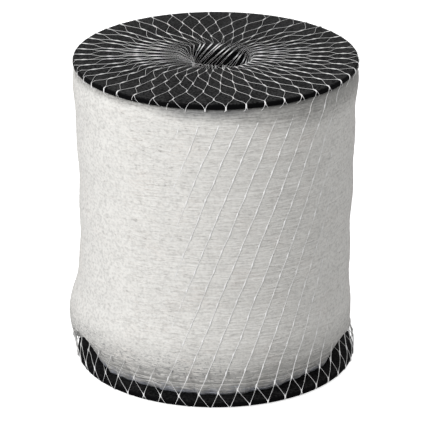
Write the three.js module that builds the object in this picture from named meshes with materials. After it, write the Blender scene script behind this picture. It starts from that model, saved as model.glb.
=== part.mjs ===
import * as THREE from 'three';

// Roll of tubular netting: a flanged spool, the netting wound on its core, and the outer length of
// the netting drawn over the whole roll as a sleeve and tucked into the bore at both ends.
// Millimetres, +Z up. The bore lies on the Z axis and the roll stands on Z = 0.
// Angles run round the roll from its front, -Y, towards its right, +X.

// Spool
const FLANGE_RADIUS = 150;
const FLANGE_THICKNESS = 6;
const RIM_ROUND = 2;
const LIP_ROUND = 4;
const BORE_RADIUS = 38;
const CORE_WALL = 4;
const SPOOL_HEIGHT = 337;
const SPOOL_SEGMENTS = 48;
const ROUND_POINTS = 3;

// Fit of one piece to the next
const FIT_GAP = 0.4;
const EDGE_CLEARANCE = 2;
const WOUND_CLEARANCE = 1.8;

// Netting sleeve: a diamond mesh, drawn at twice the pitch of the real one
const NET_THICKNESS = 1.2;
const NET_COLUMNS = 23;
const NET_ROWS = 12;
const FIRST_ROW_RADIUS = 60;
const LAST_ROW_RADIUS = 136;
const KNOT_WIDTH = 2.4;
const KNOT_LENGTH = 6;
const TUCK_DEPTH = 45;
const CORNER_ROUND = 3;
const BEND_MARGIN = 2.5;
const BEND_SHARES = [0.2, 0.8];
const SHORTEST_STEP = 1;
const ROW_TWIST = THREE.MathUtils.degToRad(1.6);
const ROW_TILT = 14;
const ROW_TILT_ANGLE = THREE.MathUtils.degToRad(45);
const PLAIN_ROWS_TO_FULL_TILT = 3;

// Form of the sleeve's side: the radius of its middle surface at the roll's left and right
const SIDE_FORM = [
  { height: 336, left: 152.6, right: 152.6 },
  { height: 318, left: 150.6, right: 150.8 },
  { height: 280, left: 149.0, right: 148.4 },
  { height: 205, left: 146.0, right: 147.2 },
  { height: 150, left: 146.0, right: 145.0 },
  { height: 105, left: 147.0, right: 144.8 },
  { height: 56, left: 149.6, right: 147.2 },
  { height: 30, left: 151.0, right: 148.6 },
  { height: 12, left: 152.6, right: 152.6 },
  { height: 3, left: 152.6, right: 152.6 },
];
const BULGE = { depth: 7, height: 55, rise: 19, angle: THREE.MathUtils.degToRad(-95), reach: 0.65 };

// Wound netting: how far its ends draw in towards the core, and its low winding ridges
const BOTTOM_DRAW = { depth: 22, height: 30 };
const TOP_DRAW = { depth: 9, height: 18 };
const RIDGE_DEPTH = 1.2;
const RIDGE_PITCH = 66;
const RIDGE_TURNS = 2;
const WOUND_SEGMENTS = 48;
const WOUND_RINGS = 16;

// Levels and radii that follow from the sizes above
const HALF_NET = NET_THICKNESS / 2;
const SPOOL_BOTTOM = NET_THICKNESS + FIT_GAP;
const SPOOL_TOP = SPOOL_BOTTOM + SPOOL_HEIGHT;
const INNER_BOTTOM = SPOOL_BOTTOM + FLANGE_THICKNESS + FIT_GAP;
const INNER_TOP = SPOOL_TOP - FLANGE_THICKNESS - FIT_GAP;
const CORE_RADIUS = BORE_RADIUS + CORE_WALL;
const SIDE_RADIUS = FLANGE_RADIUS + EDGE_CLEARANCE + HALF_NET;
const CORNER_CENTRE = SIDE_RADIUS - CORNER_ROUND;
const LIP_CENTRE = BORE_RADIUS + LIP_ROUND;
const LIP_ARC = LIP_ROUND + FIT_GAP + HALF_NET;
const TUCK_RADIUS = LIP_CENTRE - LIP_ARC;
const NET_TOP = SPOOL_TOP + FIT_GAP + HALF_NET;
const NET_BASE = HALF_NET;
const QUARTER = Math.PI / 2;

// Distances along the sleeve's line, from its end in the top of the bore
const LIP_START = TUCK_DEPTH - LIP_ROUND;
const TOP_START = LIP_START + QUARTER * LIP_ARC;
const TOP_CORNER = TOP_START + CORNER_CENTRE - LIP_CENTRE;
const SIDE_START = TOP_CORNER + QUARTER * CORNER_ROUND;
const SIDE_END = SIDE_START + NET_TOP - NET_BASE - 2 * CORNER_ROUND;
const BASE_START = SIDE_END + QUARTER * CORNER_ROUND;
const BASE_END = BASE_START + CORNER_CENTRE - LIP_CENTRE;
const LOWER_TUCK = BASE_END + QUARTER * LIP_ARC;
const SLEEVE_LENGTH = LOWER_TUCK + LIP_START;
const FIRST_ROW = TOP_START + FIRST_ROW_RADIUS - LIP_CENTRE;
const LAST_ROW = BASE_END - LAST_ROW_RADIUS + LIP_CENTRE;

const BLACK_PLASTIC = new THREE.MeshStandardMaterial({ color: 0x2b2c2e, roughness: 0.55, metalness: 0 });
const CORE_PLASTIC = new THREE.MeshStandardMaterial({ color: 0x1c1c1e, roughness: 0.7, metalness: 0 });
const WOUND_NET = new THREE.MeshStandardMaterial({ color: 0xe6e6e4, roughness: 0.6, metalness: 0 });
const SLEEVE_NET = new THREE.MeshStandardMaterial({ color: 0xd8d9d9, roughness: 0.45, metalness: 0 });

// Points of a quarter round about a centre, from one angle to another
function roundPoints(centreRadius, centreHeight, round, from, to) {
  const points = [];
  for (let i = 0; i <= ROUND_POINTS; i += 1) {
    const angle = from + (to - from) * i / ROUND_POINTS;
    points.push(new THREE.Vector2(centreRadius + round * Math.cos(angle), centreHeight + round * Math.sin(angle)));
  }
  return points;
}

// Solid of revolution about Z from a closed outline of radius and height, drawn anticlockwise
function turned(outline, segments) {
  const loop = [...outline, outline[0]];
  return new THREE.LatheGeometry(loop, segments).rotateX(QUARTER);
}

// Flange with its outer face up and its inner face at height 0
function flangeGeometry() {
  const outer = FLANGE_THICKNESS;
  const rim = FLANGE_RADIUS - RIM_ROUND;
  const outline = [
    new THREE.Vector2(BORE_RADIUS, 0),
    ...roundPoints(rim, RIM_ROUND, RIM_ROUND, -QUARTER, 0),
    ...roundPoints(rim, outer - RIM_ROUND, RIM_ROUND, 0, QUARTER),
    ...roundPoints(LIP_CENTRE, outer - LIP_ROUND, LIP_ROUND, QUARTER, Math.PI),
  ];
  return turned(outline, SPOOL_SEGMENTS);
}

function topFlange() {
  const flange = new THREE.Mesh(flangeGeometry(), BLACK_PLASTIC);
  flange.name = 'top_flange';
  flange.position.z = SPOOL_TOP - FLANGE_THICKNESS;
  return flange;
}

function bottomFlange() {
  const flange = new THREE.Mesh(flangeGeometry(), BLACK_PLASTIC);
  flange.name = 'bottom_flange';
  flange.rotation.x = Math.PI;
  flange.position.z = SPOOL_BOTTOM + FLANGE_THICKNESS;
  return flange;
}

function spoolCore() {
  const outline = [
    new THREE.Vector2(BORE_RADIUS, INNER_BOTTOM),
    new THREE.Vector2(CORE_RADIUS, INNER_BOTTOM),
    new THREE.Vector2(CORE_RADIUS, INNER_TOP),
    new THREE.Vector2(BORE_RADIUS, INNER_TOP),
  ];
  const core = new THREE.Mesh(turned(outline, SPOOL_SEGMENTS), CORE_PLASTIC);
  core.name = 'spool_core';
  return core;
}

// Radius of the sleeve's middle surface on the side: the table's left and right columns, smoothly
// joined in height and round the roll, with the bulge low on the left
function sideRadius(angle, height) {
  const last = SIDE_FORM.length - 1;
  const found = SIDE_FORM.findIndex((row, i) => i === last || height >= SIDE_FORM[i + 1].height);
  const upper = Math.min(found, last - 1);
  const high = SIDE_FORM[upper];
  const low = SIDE_FORM[upper + 1];
  const share = THREE.MathUtils.smoothstep(height, low.height, high.height);
  const left = THREE.MathUtils.lerp(low.left, high.left, share);
  const right = THREE.MathUtils.lerp(low.right, high.right, share);
  const turn = Math.atan2(Math.sin(angle - BULGE.angle), Math.cos(angle - BULGE.angle)) / BULGE.reach;
  const rise = (height - BULGE.height) / BULGE.rise;
  const bulge = BULGE.depth * Math.exp(-turn * turn - rise * rise);
  return (left + right) / 2 + (right - left) / 2 * Math.sin(angle) + bulge;
}

// How far an end of the wound netting draws in: an elliptical round that fades out over its height
function drawIn(draw, fromEnd) {
  const inside = THREE.MathUtils.clamp(1 - fromEnd / draw.height, 0, 1);
  return draw.depth * (1 - Math.sqrt(1 - inside * inside));
}

function woundRadius(angle, height) {
  const drawn = drawIn(BOTTOM_DRAW, height - INNER_BOTTOM) + drawIn(TOP_DRAW, INNER_TOP - height);
  const phase = 2 * Math.PI * height / RIDGE_PITCH;
  const ridges = Math.sin(phase + RIDGE_TURNS * angle) + Math.sin(phase - (RIDGE_TURNS + 1) * angle);
  return sideRadius(angle, height) - HALF_NET - WOUND_CLEARANCE - drawn - RIDGE_DEPTH * (2 - ridges) / 4;
}

// Wound netting: a turned ring whose outer points are set out to the wound form
function woundNetting() {
  const inner = CORE_RADIUS + FIT_GAP;
  const outline = [new THREE.Vector2(inner, INNER_TOP), new THREE.Vector2(inner, INNER_BOTTOM)];
  for (let i = 0; i <= WOUND_RINGS; i += 1) {
    const share = (1 - Math.cos(Math.PI * i / WOUND_RINGS)) / 2;
    const eased = (share + i / WOUND_RINGS) / 2;
    outline.push(new THREE.Vector2(FLANGE_RADIUS, THREE.MathUtils.lerp(INNER_BOTTOM, INNER_TOP, eased)));
  }
  const geometry = turned(outline, WOUND_SEGMENTS);
  const position = geometry.getAttribute('position');
  for (let i = 0; i < position.count; i += 1) {
    const x = position.getX(i);
    const y = position.getY(i);
    if (Math.hypot(x, y) > inner + FIT_GAP) {
      const angle = Math.atan2(x, -y);
      const radius = woundRadius(angle, position.getZ(i));
      position.setXY(i, radius * Math.sin(angle), -radius * Math.cos(angle));
    }
  }
  const wound = new THREE.Mesh(geometry, WOUND_NET);
  wound.name = 'wound_netting';
  return wound;
}

// Radius and height along the sleeve: up the bore, over the lip, the top flange and its rim, down
// the side, under the bottom flange and up into the bore again
function sleeveLine() {
  const line = new THREE.Path();
  line.moveTo(TUCK_RADIUS, SPOOL_TOP - TUCK_DEPTH);
  line.lineTo(TUCK_RADIUS, SPOOL_TOP - LIP_ROUND);
  line.absarc(LIP_CENTRE, SPOOL_TOP - LIP_ROUND, LIP_ARC, Math.PI, QUARTER, true);
  line.lineTo(CORNER_CENTRE, NET_TOP);
  line.absarc(CORNER_CENTRE, NET_TOP - CORNER_ROUND, CORNER_ROUND, QUARTER, 0, true);
  line.lineTo(SIDE_RADIUS, NET_BASE + CORNER_ROUND);
  line.absarc(CORNER_CENTRE, NET_BASE + CORNER_ROUND, CORNER_ROUND, 0, -QUARTER, true);
  line.lineTo(LIP_CENTRE, NET_BASE);
  line.absarc(LIP_CENTRE, SPOOL_BOTTOM + LIP_ROUND, LIP_ARC, -QUARTER, -Math.PI, true);
  line.lineTo(TUCK_RADIUS, SPOOL_BOTTOM + TUCK_DEPTH);
  return line;
}

const SLEEVE_LINE = sleeveLine();

function sleeveMiddle(angle, along) {
  const share = THREE.MathUtils.clamp(along / SLEEVE_LENGTH, 0, 1);
  const { x, y: height } = SLEEVE_LINE.getPoint(share);
  const onSide = along > SIDE_START && along < SIDE_END;
  const radius = onSide ? sideRadius(angle, height) : x;
  return new THREE.Vector3(radius * Math.sin(angle), -radius * Math.cos(angle), height);
}

// Point of the sleeve's outer or inner surface: the middle surface moved along its normal, which
// comes from two short steps along and round the sleeve
function sleevePoint({ angle, along }, offset) {
  const step = 0.2;
  const turn = 0.002;
  const down = sleeveMiddle(angle, along + step).sub(sleeveMiddle(angle, along - step));
  const across = sleeveMiddle(angle + turn, along).sub(sleeveMiddle(angle - turn, along));
  return sleeveMiddle(angle, along).addScaledVector(down.cross(across).normalize(), offset);
}

// A polygon's corners, begun so that a four-sided one is split along its shorter diagonal
function splitOrder(loop, places) {
  const [a, b, c, d] = loop.map((id) => places[id]);
  const other = d !== undefined && b.distanceTo(d) < a.distanceTo(c);
  return other ? [...loop.slice(1), loop[0]] : loop;
}

// Closed sheet from polygons that share points: both surfaces, and a wall on every free edge
function sheetGeometry(points, polygons) {
  const outer = points.map((point) => sleevePoint(point, HALF_NET));
  const inner = points.map((point) => sleevePoint(point, -HALF_NET));
  const count = points.length;
  const index = [];
  const shared = new Set();
  for (const polygon of polygons) {
    const loop = splitOrder(polygon, outer);
    loop.forEach((from, i) => shared.add(`${from}>${loop[(i + 1) % loop.length]}`));
    for (let i = 1; i + 1 < loop.length; i += 1) {
      index.push(loop[0], loop[i], loop[i + 1]);
      index.push(count + loop[0], count + loop[i + 1], count + loop[i]);
    }
  }
  for (const loop of polygons) {
    loop.forEach((from, i) => {
      const to = loop[(i + 1) % loop.length];
      if (!shared.has(`${to}>${from}`)) {
        index.push(to, from, count + from, to, count + from, count + to);
      }
    });
  }
  const geometry = new THREE.BufferGeometry().setFromPoints([...outer, ...inner]);
  geometry.setIndex(index);
  return geometry;
}

// Distances at which a bar of the mesh bends with the sleeve: at both rims and over the bulge
function bendStations() {
  const arc = QUARTER * CORNER_ROUND;
  const round = [-BEND_MARGIN, ...BEND_SHARES.map((share) => share * arc), arc + BEND_MARGIN];
  const crown = SIDE_END + NET_BASE + CORNER_ROUND - BULGE.height;
  const bulge = [crown - BULGE.rise, crown, crown + BULGE.rise];
  return [...round.map((d) => TOP_CORNER + d), ...bulge, ...round.map((d) => SIDE_END + d)];
}

// Rows of knots lean round the roll, as the sleeve was pulled down further on one side
function rowLean(row, angle) {
  const fromEnds = Math.min(row, NET_ROWS - 1 - row) / PLAIN_ROWS_TO_FULL_TILT;
  return ROW_TILT * Math.min(1, fromEnds) * Math.cos(angle - ROW_TILT_ANGLE);
}

function netSleeve() {
  const points = [];
  const polygons = [];
  const bends = bendStations();
  const pitch = 2 * Math.PI / NET_COLUMNS;
  const addPoint = (angle, along) => points.push({ angle, along }) - 1;

  // Four corners of each knot
  const knots = [];
  for (let row = 0; row < NET_ROWS; row += 1) {
    knots.push([]);
    const level = THREE.MathUtils.lerp(FIRST_ROW, LAST_ROW, row / (NET_ROWS - 1));
    for (let column = 0; column < NET_COLUMNS; column += 1) {
      const angle = (column + (row % 2) / 2) * pitch + row * ROW_TWIST;
      const along = level - rowLean(row, angle);
      const middle = sleeveMiddle(angle, along);
      const halfWidth = KNOT_WIDTH / 2 / Math.hypot(middle.x, middle.y);
      knots[row].push({
        left: addPoint(angle - halfWidth, along),
        right: addPoint(angle + halfWidth, along),
        up: row > 0 ? addPoint(angle, along - KNOT_LENGTH / 2) : null,
        down: row < NET_ROWS - 1 ? addPoint(angle, along + KNOT_LENGTH / 2) : null,
      });
    }
  }
  for (const knot of knots.flat()) {
    polygons.push([knot.left, knot.down, knot.right, knot.up].filter((corner) => corner !== null));
  }

  // Bars: a strip from the edge of one knot to the edge of the next, with points where it bends
  const addBar = (leftFrom, leftTo, rightFrom, rightTo) => {
    const ends = [leftFrom, leftTo, rightFrom, rightTo].map((id) => points[id]);
    const turn = Math.round((ends[1].angle - ends[0].angle) / (2 * Math.PI)) * 2 * Math.PI;
    const start = (ends[0].along + ends[2].along) / 2;
    const finish = (ends[1].along + ends[3].along) / 2;
    const within = bends.filter((d) => d > start + SHORTEST_STEP && d < finish - SHORTEST_STEP);
    const shares = within.map((d) => (d - start) / (finish - start));
    const side = (from, to, share) => addPoint(
      THREE.MathUtils.lerp(from.angle, to.angle - turn, share),
      THREE.MathUtils.lerp(from.along, to.along, share),
    );
    const left = [leftFrom, ...shares.map((share) => side(ends[0], ends[1], share)), leftTo];
    const right = [rightFrom, ...shares.map((share) => side(ends[2], ends[3], share)), rightTo];
    for (let i = 0; i + 1 < left.length; i += 1) {
      polygons.push([left[i], left[i + 1], right[i + 1], right[i]]);
    }
  };
  for (let row = 0; row + 1 < NET_ROWS; row += 1) {
    knots[row].forEach((knot, column) => {
      const toRight = knots[row + 1][(column + row % 2) % NET_COLUMNS];
      const toLeft = knots[row + 1][(column + row % 2 + NET_COLUMNS - 1) % NET_COLUMNS];
      addBar(knot.down, toRight.left, knot.right, toRight.up);
      addBar(knot.left, toLeft.up, knot.down, toLeft.right);
    });
  }

  // Gathered ends: plain rings from the outermost rows over the lips and into the bore
  const addRings = (row, stations, downwards) => {
    let ring = row.flatMap((knot) => [knot.left, knot.right]);
    for (const along of stations) {
      const next = ring.map((id) => addPoint(points[id].angle, along));
      const [upper, lower] = downwards ? [ring, next] : [next, ring];
      lower.forEach((id, i) => {
        const j = (i + 1) % lower.length;
        polygons.push([id, lower[j], upper[j], upper[i]]);
      });
      ring = next;
    }
  };
  const lip = [];
  for (let i = 0; i <= ROUND_POINTS; i += 1) {
    lip.push(QUARTER * LIP_ARC * i / ROUND_POINTS);
  }
  addRings(knots[0], [...lip.map((d) => TOP_START - d), 0], false);
  addRings(knots[NET_ROWS - 1], [...lip.map((d) => BASE_END + d), SLEEVE_LENGTH], true);

  const sleeve = new THREE.Mesh(sheetGeometry(points, polygons), SLEEVE_NET);
  sleeve.name = 'net_sleeve';
  return sleeve;
}

const roll = new THREE.Group();
roll.name = 'roll_of_tubular_netting';
roll.add(topFlange(), bottomFlange(), spoolCore(), woundNetting(), netSleeve());

export default roll;
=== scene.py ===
"""Dresses a roll of tubular netting: a black spool wound full of white net, in a sleeve of the same net.

Lengths are metres and +Z is up. Angles run round the roll from its front, -Y, towards its right, +X.
"""

import math
from types import SimpleNamespace

import bpy
import numpy as np
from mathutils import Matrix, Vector


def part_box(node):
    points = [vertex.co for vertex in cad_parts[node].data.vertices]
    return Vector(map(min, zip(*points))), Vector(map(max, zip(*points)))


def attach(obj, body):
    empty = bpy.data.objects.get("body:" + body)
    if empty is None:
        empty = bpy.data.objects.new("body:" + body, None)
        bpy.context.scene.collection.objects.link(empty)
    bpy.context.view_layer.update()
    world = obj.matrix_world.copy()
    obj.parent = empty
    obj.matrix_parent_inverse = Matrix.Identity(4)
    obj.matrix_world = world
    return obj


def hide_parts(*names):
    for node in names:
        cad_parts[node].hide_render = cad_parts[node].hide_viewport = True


bl_info = {
    "name": "Netting roll",
    "version": (1, 0, 0),
    "blender": (4, 5, 0),
    "location": "View3D > Sidebar > Netting",
    "description": "Dresses the frame of a roll of tubular netting",
    "category": "Object",
}

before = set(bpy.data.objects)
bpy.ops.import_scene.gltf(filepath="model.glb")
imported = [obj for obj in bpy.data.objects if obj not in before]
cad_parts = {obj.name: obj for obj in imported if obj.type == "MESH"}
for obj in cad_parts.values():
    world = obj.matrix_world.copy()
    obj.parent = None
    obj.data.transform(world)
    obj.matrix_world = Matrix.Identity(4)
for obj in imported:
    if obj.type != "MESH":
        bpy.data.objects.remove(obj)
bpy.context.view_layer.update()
BODY = "root"

# Levels and radii read from the frame
TOP_LOW, TOP_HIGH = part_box("top_flange")
BASE_LOW, BASE_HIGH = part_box("bottom_flange")
WOUND_LOW, WOUND_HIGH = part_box("wound_netting")
CORE_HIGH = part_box("spool_core")[1]



def about(angle, reach):
    """A place round the roll and how far it reaches to each side, from degrees."""
    return {"angle": math.radians(angle), "reach": math.radians(reach)}


def sides(left, right, fade):
    """Two sides round the roll and the fade inside each, from degrees."""
    return {"left": math.radians(left), "right": math.radians(right), "fade": math.radians(fade)}


# Form of the sleeve's side: height, radius at the roll's left, radius at its right
SIDE_FORM = np.array([
    (0.003, 0.1506, 0.1506),
    (0.012, 0.1508, 0.1506),
    (0.028, 0.1508, 0.1484),
    (0.042, 0.1500, 0.1464),
    (0.060, 0.1494, 0.1464),
    (0.105, 0.1470, 0.1448),
    (0.150, 0.1460, 0.1450),
    (0.205, 0.1460, 0.1472),
    (0.280, 0.1490, 0.1484),
    (0.318, 0.1506, 0.1508),
    (0.336, 0.1506, 0.1506),
])
BULGE = {
    "depth": 0.0095, "height": 0.053, "above": 0.032, "below": 0.030,
    "angle": math.radians(-95), "reach": 0.65,
}

# The sleeve's rows of knots: row, place along its line, lean, spread front and back, gather to the left
SLEEVE_ROWS = np.array([
    (-7, 0.0020, 0.003, 0.20, 0.05),
    (-6, 0.0260, 0.010, 0.28, 0.10),
    (-5, 0.0500, 0.011, 0.30, 0.14),
    (-4, 0.0654, 0.014, 0.30, 0.11),
    (-3, 0.0882, 0.017, 0.15, 0.05),
    (-2, 0.1112, 0.020, 0.12, 0.0),
    (-1, 0.1340, 0.023, 0.06, 0.0),
    (0, 0.1551, 0.026, 0.0, 0.0),
    (17, 0.4877, 0.026, 0.0, 0.0),
    (22, 0.6014, 0.008, 0.0, 0.0),
    (24, 0.6470, 0.0, 0.0, 0.0),
])
EVEN_ROWS = slice(7, 9)
LEAN_SIDE = 0.79
FRONT_ROW_PHASE = math.radians(-3.913)
GATHER_ANGLE = math.radians(-110)


def smooth(share):
    """Soft step from 0 to 1 as share goes from 0 to 1: 3 s^2 - 2 s^3."""
    share = np.clip(share, 0.0, 1.0)
    return share * share * (3.0 - 2.0 * share)


def above(value, limit, fade):
    """Soft step from 0 at a limit to 1 a fade above it."""
    return smooth((value - limit) / fade)


def below(value, limit, fade):
    """Soft step from 0 at a limit to 1 a fade below it."""
    return smooth((limit - value) / fade)


def within(value, band):
    """1 inside a band and 0 outside it, with a soft fade inside each end."""
    return above(value, band["low"], band["low_fade"]) * below(value, band["high"], band["high_fade"])


def between(angle, sides):
    """1 between two sides of the roll and 0 outside them, with soft fades inside."""
    way_round = np.angle(np.exp(1j * angle))
    return above(way_round, sides["left"], sides["fade"]) * below(way_round, sides["right"], sides["fade"])


def bell(angle, place):
    """Bell curve round the roll about a place's angle, from 0 to 1, that falls off over its reach."""
    away = np.angle(np.exp(1j * (angle - place["angle"]))) / place["reach"]
    return np.exp(-away**2)


def polar(angle, outward, upward):
    """Vectors at angles round the roll: x = outward sin(angle), y = -outward cos(angle), z = upward."""
    angle, outward, upward = np.broadcast_arrays(angle, outward, upward)
    return np.stack([outward * np.sin(angle), -outward * np.cos(angle), upward], axis=-1)


def unit(vectors):
    """Vectors at length 1."""
    return vectors / np.linalg.norm(vectors, axis=-1, keepdims=True)


def distances(radius, height):
    """Distances along a line of radii and heights, from its first point."""
    return np.concatenate([[0.0], np.cumsum(np.hypot(np.diff(radius), np.diff(height)))])


def grid_faces(rows, columns, close_rows, close_columns):
    """Four-sided faces between neighbours in a grid, joined round where a direction closes."""
    row = np.arange(rows if close_rows else rows - 1)[:, None]
    column = np.arange(columns if close_columns else columns - 1)[None, :]
    next_row = (row + 1) % rows
    next_column = (column + 1) % columns
    corners = [
        row * columns + column,
        row * columns + next_column,
        next_row * columns + next_column,
        next_row * columns + column,
    ]
    return np.stack(corners, axis=-1).reshape(-1, 4)


def make_piece(name, points, faces, material, tone=None):
    """Makes a smooth mesh object of four-sided faces at the origin, riding on the roll's one body.

    A tone for each point goes into an attribute that its material may read.
    """
    mesh = bpy.data.meshes.new(name)
    mesh.vertices.add(len(points))
    mesh.vertices.foreach_set("co", points.astype(np.float32).ravel())
    mesh.loops.add(faces.size)
    mesh.loops.foreach_set("vertex_index", faces.astype(np.int32).ravel())
    mesh.polygons.add(len(faces))
    mesh.polygons.foreach_set("loop_start", np.arange(0, faces.size, 4, dtype=np.int32))
    mesh.update(calc_edges=True)
    if mesh.validate():
        raise ValueError(f"{name} has faces that are not sound")
    mesh.shade_smooth()
    if tone is not None:
        values = tone.astype(np.float32)
        mesh.attributes.new("tone", "FLOAT", "POINT").data.foreach_set("value", values)
    mesh.materials.append(material)
    piece = bpy.data.objects.new(name, mesh)
    bpy.context.scene.collection.objects.link(piece)
    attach(piece, BODY)
    return piece


def tubes(paths, normals, radii, sides, closed):
    """Threads as tubes on paths[thread, step]: path + radius (cos(turn) normal + sin(turn) side).

    The side is tangent x normal. Gives points and faces. Open threads have four sides and a flat end.
    """
    if closed:
        tangent = np.roll(paths, -1, axis=1) - np.roll(paths, 1, axis=1)
    else:
        tangent = np.gradient(paths, axis=1)
    tangent = unit(tangent)
    side = unit(np.cross(tangent, normals))
    normal = np.cross(side, tangent)
    turn = 2.0 * np.pi * np.arange(sides) / sides
    ring = np.cos(turn)[:, None] * normal[:, :, None, :] + np.sin(turn)[:, None] * side[:, :, None, :]
    points = paths[:, :, None, :] + radii[:, :, None, None] * ring
    threads, steps = paths.shape[:2]
    faces = grid_faces(steps, sides, closed, True)
    if not closed:
        first = np.arange(sides)[::-1]
        last = (steps - 1) * sides + np.arange(sides)
        faces = np.concatenate([faces, first[None, :], last[None, :]])
    start = np.arange(threads) * steps * sides
    faces = (faces[None, :, :] + start[:, None, None]).reshape(-1, 4)
    return points.reshape(-1, 3), faces


def side_radius(angle, height):
    """Radius of the sleeve's side: soft steps between SIDE_FORM's heights, its sides joined by sin(angle).

    A bulge stands out at the lower left, as a bell curve of height and angle.
    """
    levels = SIDE_FORM[:, 0]
    place = np.clip(np.searchsorted(levels, height) - 1, 0, len(levels) - 2)
    share = smooth((height - levels[place]) / (levels[place + 1] - levels[place]))
    left = SIDE_FORM[place, 1] + (SIDE_FORM[place + 1, 1] - SIDE_FORM[place, 1]) * share
    right = SIDE_FORM[place, 2] + (SIDE_FORM[place + 1, 2] - SIDE_FORM[place, 2]) * share
    away = (height - BULGE["height"]) / np.where(height > BULGE["height"], BULGE["above"], BULGE["below"])
    bulge = BULGE["depth"] * bell(angle, BULGE) * np.exp(-away**2)
    return 0.5 * (left + right) + 0.5 * (right - left) * np.sin(angle) + bulge


class Socket:
    """An output socket of a node, whose arithmetic adds Math nodes."""

    def __init__(self, finish, socket):
        self.finish = finish
        self.socket = socket

    def maths(self, operation, first, second):
        return self.finish.node("ShaderNodeMath", {"operation": operation}, {0: first, 1: second})

    def __add__(self, other):
        return self.maths("ADD", self, other)

    def __sub__(self, other):
        return self.maths("SUBTRACT", self, other)

    def __rsub__(self, other):
        return self.maths("SUBTRACT", other, self)

    def __mul__(self, other):
        return self.maths("MULTIPLY", self, other)

    __radd__ = __add__
    __rmul__ = __mul__


class Finish:
    """A material's node tree, ending in one Principled shader."""

    def __init__(self, name):
        self.material = bpy.data.materials.new(name)
        self.material.use_nodes = True
        self.tree = self.material.node_tree
        self.tree.nodes.clear()

    def node(self, kind, settings=None, sockets=None, output=0):
        """Adds a node of that type with its settings, then its sockets' values or links. Gives an output."""
        made = self.tree.nodes.new(kind)
        for name, value in (settings or {}).items():
            setattr(made, name, value)
        for name, value in (sockets or {}).items():
            if isinstance(value, Socket):
                self.tree.links.new(value.socket, made.inputs[name])
            else:
                made.inputs[name].default_value = value
        return Socket(self, made.outputs[output])

    def coordinates(self):
        """Object coordinates."""
        return self.node("ShaderNodeTexCoord", output="Object")

    def place(self, axis):
        """Object coordinate along X, from the roll's left to its right, or along Z, up from the floor."""
        return self.node("ShaderNodeSeparateXYZ", {}, {"Vector": self.coordinates()}, output=axis)

    def noise(self, scale, detail=2.0, stretch=(1.0, 1.0, 1.0)):
        """Noise from 0 to 1 over Object coordinates, with that many waves a metre, stretched along axes."""
        sockets = {"Vector": self.coordinates(), "Scale": stretch}
        stretched = self.node("ShaderNodeMapping", {"vector_type": "POINT"}, sockets)
        return self.node("ShaderNodeTexNoise", {}, {"Vector": stretched, "Scale": scale, "Detail": detail})

    def tone(self):
        """Tone that the piece's own points carry."""
        return self.node("ShaderNodeAttribute", {"attribute_name": "tone"}, output="Fac")

    def step(self, value, start, end):
        """Soft step of a value from 0 at its start to 1 at its end, which may be the lower of the two."""
        sockets = {"Value": value, "From Min": start, "From Max": end}
        return self.node("ShaderNodeMapRange", {"interpolation_type": "SMOOTHSTEP"}, sockets)

    def blend(self, share, first, second):
        """Colour between two colours, by the Mix node's colour sockets, which go by number."""
        return self.node("ShaderNodeMix", {"data_type": "RGBA"}, {0: share, 6: first, 7: second}, output=2)

    def bump(self, height, strength, distance):
        """Normal from a height that changes over the surface."""
        sockets = {"Height": height, "Strength": strength, "Distance": distance}
        return self.node("ShaderNodeBump", {}, sockets)

    def shade(self, **sockets):
        """Ends the tree with a Principled shader, its sockets named with underscores for blanks."""
        values = {name.replace("_", " "): value for name, value in sockets.items()}
        shader = self.node("ShaderNodeBsdfPrincipled", {}, values)
        end = self.tree.nodes.new("ShaderNodeOutputMaterial")
        self.tree.links.new(shader.socket, end.inputs["Surface"])
        return self.material


def moulded_plastic(name, colour, wear_and_sheen_colour):
    """Black moulded plastic: fine grain in its bump, and lighter wear and painted sheen where its tone marks
    it.
    """
    finish = Finish(name)
    grain = finish.noise(1500.0, 3.0)
    # Lighter patches where the tone marks the flat faces: wear and painted sheen
    wear_and_sheen = finish.step(finish.noise(28.0, 5.0), 0.42, 0.75)
    speckle = finish.step(finish.noise(420.0, 3.0), 0.36, 0.66)
    tint = finish.blend((wear_and_sheen * 0.3 + speckle * 0.7) * finish.tone(), colour, wear_and_sheen_colour)
    return finish.shade(
        Base_Color=tint,
        Roughness=0.46 + wear_and_sheen * 0.14,
        Specular_IOR_Level=0.012,
        Normal=finish.bump(grain, 0.25, 0.0002),
    )


def warm_cast(finish, tone, net):
    """Colour of net thread: its own colour, warmer in patches and a little with its tone."""
    patch = finish.step(finish.noise(30.0, 3.0), 0.5, 0.72)
    return finish.blend(patch * 0.7 + tone * 0.3, net.colour, net.warm_colour)


def net_plastic(name, sleeve):
    """White net thread: a faint warm cast in patches, small changes along each thread, and grey in shade."""
    finish = Finish(name)
    tone = finish.noise(260.0, 2.0)
    tint = finish.blend(finish.tone(), warm_cast(finish, tone, sleeve), sleeve.shaded_colour)
    return finish.shade(Base_Color=tint, Roughness=0.34 + tone * 0.2, Specular_IOR_Level=0.45)


# Zones across the wound net's finish: the places where a soft step starts and ends
ACROSS = {
    "left": (0.08, -0.03),
    "front": (-0.08, 0.10),
    "right": (0.02, 0.10),
    "left_edge": (-0.085, -0.130),
    "right_edge": (0.085, 0.130),
    "dark_side": (0.10, -0.02),
    "from_middle": (-0.07, -0.02),
    "past_middle": (0.015, 0.05),
}
# Zones up it: how far patches shift the height, then the heights where a soft step starts and ends
UPWARD = {
    "slack": (0.05, 0.102, 0.062),
    "gaps": (0.05, 0.096, 0.060),
    "dark_foot": (0.0, 0.022, 0.034),
    "dark_top": (0.03, 0.084, 0.060),
    # Painted shade just under the rim
    "under_rim_shade": (0.010, 0.322, 0.336),
}
# A band of painted shade under the top flange: shift by patches, start, how much lower it starts at the
# front and at the right, end
RIM_SHADE = {"shift": 0.010, "start": 0.326, "front": 0.022, "right": 0.006, "end": 0.339}
# Painted shade at the foot: a ragged band, raised by dashes and tatters, full below its end and gone above
# its start
FOOT_SHADE = {"dashes": 0.010, "tatters": 0.030, "start": 0.040, "end": 0.025}
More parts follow.
